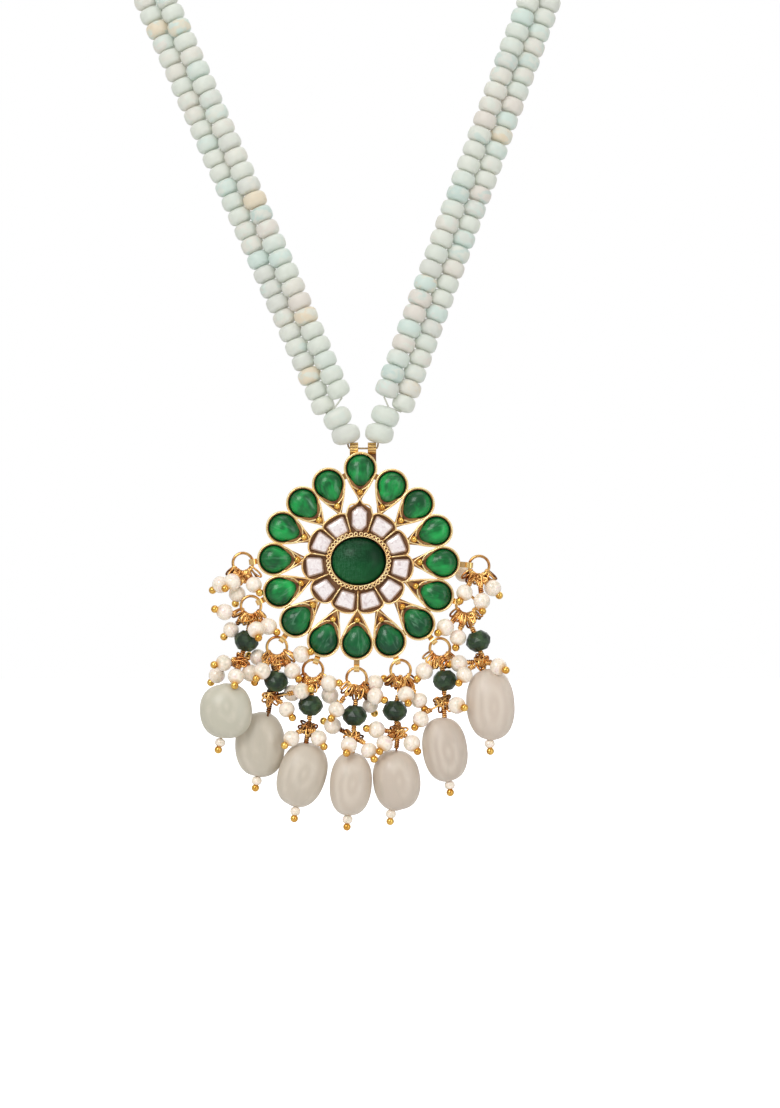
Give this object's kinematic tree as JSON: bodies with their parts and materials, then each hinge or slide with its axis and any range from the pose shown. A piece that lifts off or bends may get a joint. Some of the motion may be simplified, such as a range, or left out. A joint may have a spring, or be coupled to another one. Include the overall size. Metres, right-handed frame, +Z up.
{
  "type": "statement necklace",
  "caption": "Bead necklace that meets in a V and carries a flower-shaped pendant of pear-cut green cabochons round an oval stone, with a fringe of pearls and tumbled beads.",
  "frame": {"origin": "the middle of the nape, on the inner side of the loop, where the necklace lies on the back of a neck", "axes": "+Z up, -Y towards the front where the pendant hangs, +X to the viewer's right"},
  "size_m": [0.1229, 0.0981, 0.2555],
  "materials": {
    "frosted_bead": "frosted satin, pale sage green with mint and cream beads among them",
    "thread": "thin waxed thread",
    "gold_plate": "pale gold plating, polished, slightly worn",
    "dark_green_stone": "polished cabochon, very dark green",
    "green_stone": "polished emerald-green cabochon over a bright foil",
    "clear_stone": "flat-cut clear stones on silver foil",
    "pearl": "freshwater pearl lustre on gold wire",
    "green_faceted": "polished facets, near-black green",
    "tumbled_stone": "satin tumbled stone, grey-green to pink-beige with faint bands"
  },
  "bodies": {
    "necklace": {"strand_left_outer": "frosted_bead", "strand_left_inner": "frosted_bead", "strand_right_outer": "frosted_bead", "strand_right_inner": "frosted_bead", "gather_beads_left": "frosted_bead", "gather_beads_right": "frosted_bead", "thread_outer": "thread", "thread_inner": "thread", "clasp": "gold_plate"},
    "pendant": {"pendant_setting": "gold_plate", "centre_stone": "dark_green_stone", "kundan_stones": "clear_stone", "pear_stone_01": "green_stone", "pear_stone_02": "green_stone", "pear_stone_03": "green_stone", "pear_stone_04": "green_stone", "pear_stone_05": "green_stone", "pear_stone_06": "green_stone", "pear_stone_07": "green_stone", "pear_stone_08": "green_stone", "pear_stone_09": "green_stone", "pear_stone_10": "green_stone", "pear_stone_11": "green_stone", "pear_stone_12": "green_stone", "pear_stone_13": "green_stone", "pear_stone_14": "green_stone", "pear_stone_15": "green_stone", "pear_stone_16": "green_stone", "pearl_drop_1": "pearl", "pearl_drop_2": "pearl", "pearl_drop_3": "pearl", "pearl_drop_4": "pearl", "pearl_drop_5": "pearl", "pearl_drop_6": "pearl", "pearl_drop_7": "pearl", "pearl_drop_8": "pearl", "pearl_drop_9": "pearl", "green_bead_1": "green_faceted", "green_bead_2": "green_faceted", "green_bead_3": "green_faceted", "green_bead_4": "green_faceted", "green_bead_5": "green_faceted", "green_bead_6": "green_faceted", "green_bead_7": "green_faceted", "tumbled_bead_1": "tumbled_stone", "tumbled_bead_2": "tumbled_stone", "tumbled_bead_3": "tumbled_stone", "tumbled_bead_4": "tumbled_stone", "tumbled_bead_5": "tumbled_stone", "tumbled_bead_6": "tumbled_stone", "tumbled_bead_7": "tumbled_stone"}
  },
  "joints": [
    {"name": "pendant_swing", "type": "hinge", "parent": "necklace", "child": "pendant", "pos_m": [0.0034, -0.0844, -0.1541], "axis": [1, 0, 0], "range_deg": [-45, 45]}
  ]
}
